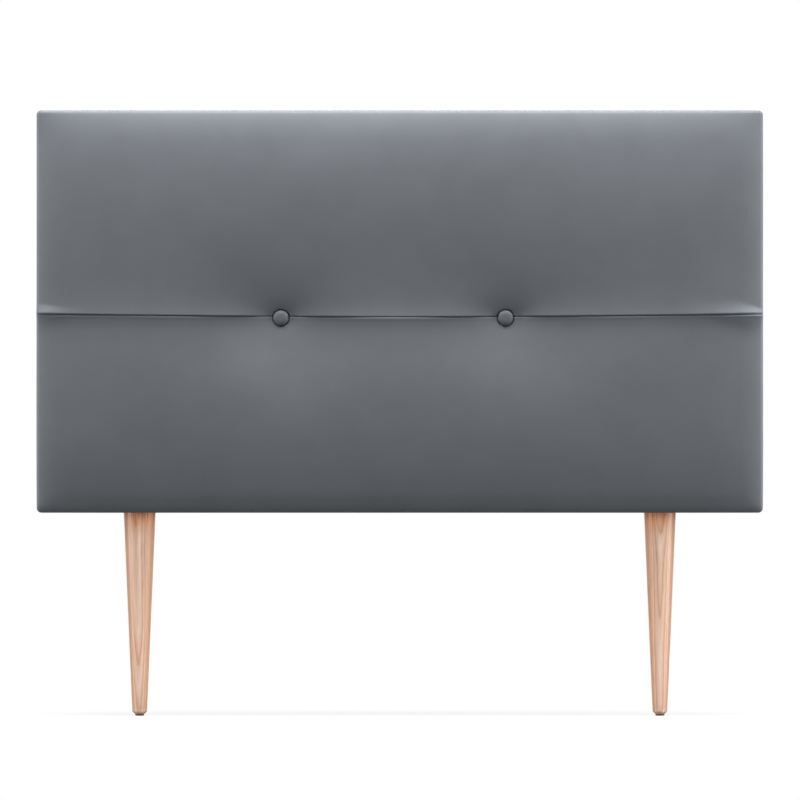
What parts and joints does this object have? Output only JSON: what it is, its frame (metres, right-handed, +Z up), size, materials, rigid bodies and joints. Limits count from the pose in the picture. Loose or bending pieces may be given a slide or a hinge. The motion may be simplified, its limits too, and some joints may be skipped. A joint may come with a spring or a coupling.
{
  "type": "headboard",
  "caption": "Free-standing upholstered headboard: wide padded panel with one sewn seam and tufting buttons, on tapered wooden legs that screw in.",
  "frame": {"origin": "on the floor, under the middle of the part's bounding box", "axes": "+X to the right of someone facing the padded side, +Y from the padded side to the wall, +Z up"},
  "size_m": [1.08, 0.0857, 0.9014],
  "materials": {
    "imitation_leather": "satin",
    "leg_wood": "satin",
    "pine": "matte",
    "hardboard": "matte",
    "foam": "matte",
    "dust_cloth": "matte",
    "twine": "matte",
    "zinc_steel": "satin",
    "brown_plastic": "satin"
  },
  "bodies": {
    "root": {"top_rail": "pine", "bottom_rail": "pine", "left_stile": "pine", "right_stile": "pine", "middle_rail": "pine", "frame_screws": "zinc_steel", "front_board": "hardboard", "board_staples": "zinc_steel", "foam_pad": "foam", "upper_cover": "imitation_leather", "lower_cover": "imitation_leather", "cover_staples": "zinc_steel", "back_cloth": "dust_cloth", "cloth_staples": "zinc_steel", "twine_staples": "zinc_steel", "left_button_cover": "imitation_leather", "left_button_cap": "zinc_steel", "left_button_back": "zinc_steel", "left_button_twine": "twine", "left_leg_nut": "zinc_steel", "right_button_cover": "imitation_leather", "right_button_cap": "zinc_steel", "right_button_back": "zinc_steel", "right_button_twine": "twine", "right_leg_nut": "zinc_steel"},
    "left_bolt": {"left_leg_bolt": "zinc_steel"},
    "left_leg": {"left_leg": "leg_wood", "left_glide": "brown_plastic", "left_glide_nail": "zinc_steel"},
    "right_bolt": {"right_leg_bolt": "zinc_steel"},
    "right_leg": {"right_leg": "leg_wood", "right_glide": "brown_plastic", "right_glide_nail": "zinc_steel"}
  },
  "joints": [
    {"name": "left_leg_travel", "type": "slide", "parent": "root", "child": "left_bolt", "axis": [0, 0, -1], "range_m": [0, 0.0125]},
    {"name": "left_leg_turn", "type": "hinge", "parent": "left_bolt", "child": "left_leg", "pos_m": [-0.388, 0.01725, 0.303], "axis": [0, 0, -1], "range_deg": [0, 3600]},
    {"name": "right_leg_travel", "type": "slide", "parent": "root", "child": "right_bolt", "axis": [0, 0, -1], "range_m": [0, 0.0125]},
    {"name": "right_leg_turn", "type": "hinge", "parent": "right_bolt", "child": "right_leg", "pos_m": [0.388, 0.01725, 0.303], "axis": [0, 0, -1], "range_deg": [0, 3600]}
  ],
  "couplings": [
    {"joint": "left_leg_travel", "follows": "left_leg_turn", "m_per_rad": 0.00019894},
    {"joint": "right_leg_travel", "follows": "right_leg_turn", "m_per_rad": 0.00019894}
  ]
}
